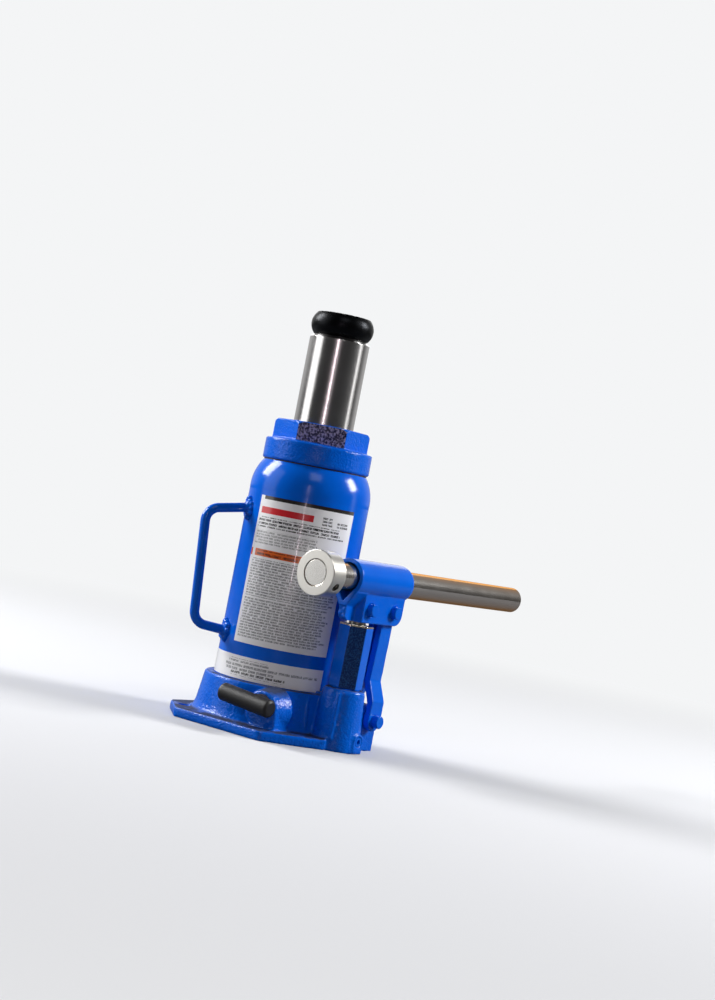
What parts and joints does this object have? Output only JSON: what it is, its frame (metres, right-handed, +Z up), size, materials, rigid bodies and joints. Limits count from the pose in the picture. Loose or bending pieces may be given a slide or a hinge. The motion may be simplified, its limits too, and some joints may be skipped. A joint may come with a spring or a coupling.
{
  "type": "hydraulic bottle jack",
  "caption": "Hydraulic bottle jack with extended ram, hexagonal top nut, hand pump with lever linkage and bar, release lever and carry handle.",
  "frame": {"origin": "on the tank's axis, on the underside of the base", "axes": "+Z up along the tank's axis, +X towards the pump, Y along the handle bar"},
  "size_m": [0.1445, 0.2665, 0.3008],
  "materials": {
    "blue_casting": "gloss enamel on cast iron",
    "blue_steel": "gloss enamel on steel",
    "bright_steel": "hard chrome, ground",
    "plated_steel": "plated",
    "inner_steel": "machined and oiled",
    "black_steel": "black oxide and paint",
    "black_grip": "satin moulded",
    "seal_rubber": "matt",
    "label_film": "gloss vinyl"
  },
  "bodies": {
    "frame": {"base_casting": "blue_casting", "tank_gasket_lower": "seal_rubber", "tank": "blue_steel", "tank_gasket_upper": "seal_rubber", "pressure_cylinder": "inner_steel", "cylinder_gasket": "seal_rubber", "top_nut": "blue_casting", "ram_wiper": "seal_rubber", "carry_handle": "blue_steel", "main_label": "label_film", "lower_label": "label_film", "pump_body": "blue_steel", "pump_wiper": "seal_rubber", "inlet_check_ball": "inner_steel", "release_ball": "inner_steel", "overload_plug": "black_steel", "overload_spring": "inner_steel", "overload_ball": "inner_steel", "oil_screen": "inner_steel"},
    "filler": {"filler_plug": "seal_rubber"},
    "ram": {"ram": "bright_steel", "ram_piston": "inner_steel", "ram_cup_seal": "seal_rubber", "ram_piston_nut": "inner_steel"},
    "saddle": {"saddle": "black_steel"},
    "screw": {"extension_screw": "inner_steel", "saddle_snap_ring": "inner_steel"},
    "plunger": {"pump_plunger": "inner_steel", "pump_cup_seal": "seal_rubber"},
    "socket": {"handle_socket": "blue_steel", "plunger_pin": "blue_steel", "link_pin": "blue_steel"},
    "link": {"link_arm_front": "blue_steel", "link_arm_rear": "blue_steel", "base_pin": "blue_steel"},
    "bar": {"handle_bar": "plated_steel", "bar_stop_collar": "plated_steel", "stop_collar_screw": "black_steel"},
    "release": {"release_stem": "black_steel", "release_grip": "black_grip"}
  },
  "joints": [
    {"name": "ram_lift", "type": "slide", "parent": "frame", "child": "ram", "axis": [0, 0, 1], "range_m": [-0.061, 0.085]},
    {"name": "saddle_lift", "type": "slide", "parent": "ram", "child": "saddle", "axis": [0, 0, 1], "range_m": [0, 0.065]},
    {"name": "screw_turn", "type": "hinge", "parent": "saddle", "child": "screw", "pos_m": [0, 0, 0.25], "axis": [0, 0, 1], "range_deg": [0, 4681]},
    {"name": "plunger_stroke", "type": "slide", "parent": "frame", "child": "plunger", "axis": [0, 0, 1], "range_m": [0, 0.017]},
    {"name": "socket_swing", "type": "hinge", "parent": "plunger", "child": "socket", "pos_m": [0.062, 0, 0.1], "axis": [-1, 0, 0], "range_deg": [0, 35]},
    {"name": "link_swing", "type": "hinge", "parent": "socket", "child": "link", "pos_m": [0.062, 0.029, 0.1], "axis": [-1, 0, 0], "range_deg": [-38.4, 0]},
    {"name": "bar_slide", "type": "slide", "parent": "socket", "child": "bar", "axis": [0, 1, 0], "range_m": [-0.15, 0.0225]},
    {"name": "release_turn", "type": "hinge", "parent": "frame", "child": "release", "pos_m": [0.032, -0.05, 0.024], "axis": [0, -1, 0], "range_deg": [0, 22]},
    {"name": "filler_pull", "type": "slide", "parent": "frame", "child": "filler", "axis": [-0.6018, 0.7986, 0], "range_m": [0, 0.012]}
  ],
  "couplings": [
    {"joint": "screw_turn", "follows": "saddle_lift", "rad_per_m": 1256.6},
    {"joint": "plunger_stroke", "follows": "socket_swing", "m_per_rad": 0.02776},
    {"joint": "link_swing", "follows": "socket_swing", "ratio": -1.0921}
  ]
}
